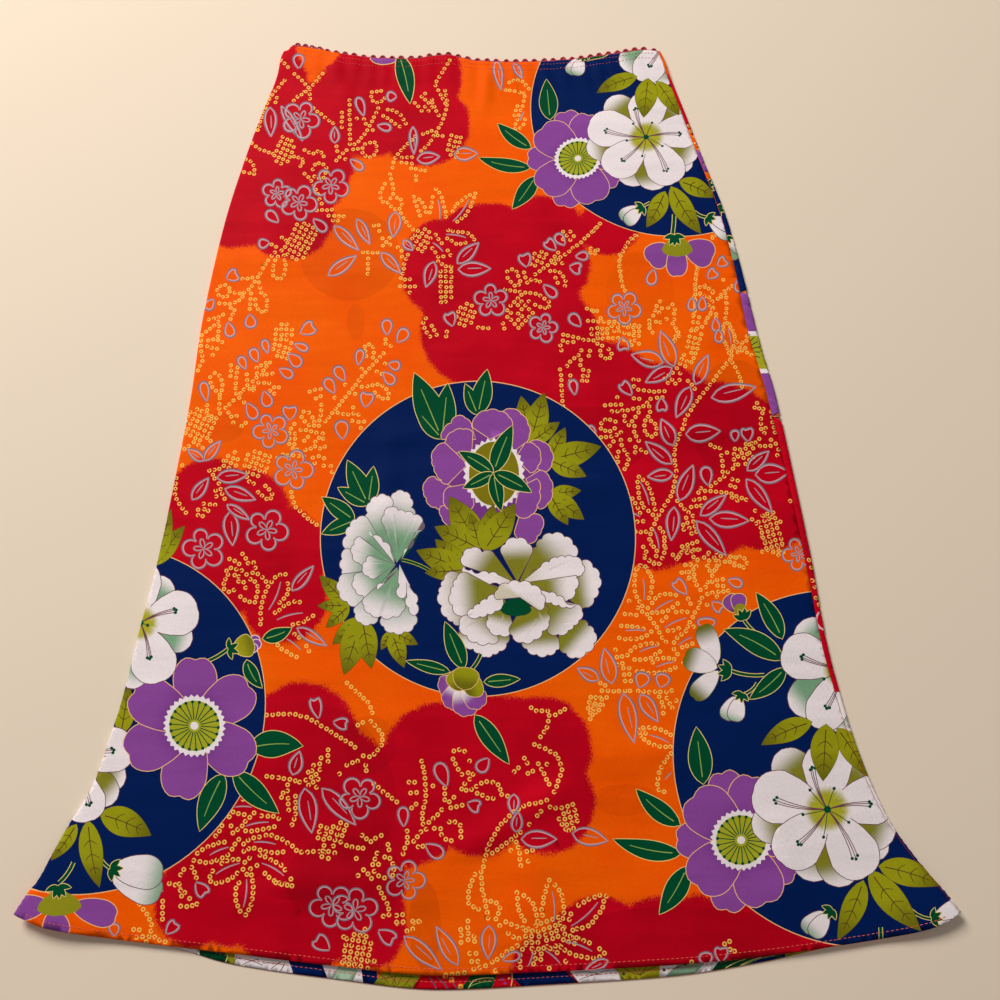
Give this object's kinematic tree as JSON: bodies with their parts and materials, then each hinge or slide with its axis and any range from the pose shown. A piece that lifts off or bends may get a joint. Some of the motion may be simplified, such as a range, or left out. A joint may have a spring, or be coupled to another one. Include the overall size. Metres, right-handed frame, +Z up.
{
  "type": "midi skirt",
  "caption": "Flared pull-on midi skirt in thin printed cloth, laid flat with its front up, with a narrow picot elastic at the waist.",
  "frame": {"origin": "middle of the underside of the laid skirt's bounding box", "axes": "+X to the right seen from above with the waist away, +Y from the hem to the waist, +Z up off the surface"},
  "size_m": [0.7064, 0.8159, 0.0097],
  "materials": {
    "printed_front": "smooth matt printed crepe, orange and red with blue round grounds",
    "printed_back": "the same printed crepe, its paler wrong side inside the tube",
    "picot_elastic": "dark red woven elastic with looped edge"
  },
  "bodies": {
    "root": {"front_panel": "printed_front", "back_panel": "printed_back", "waist_elastic": "picot_elastic"}
  },
  "joints": []
}
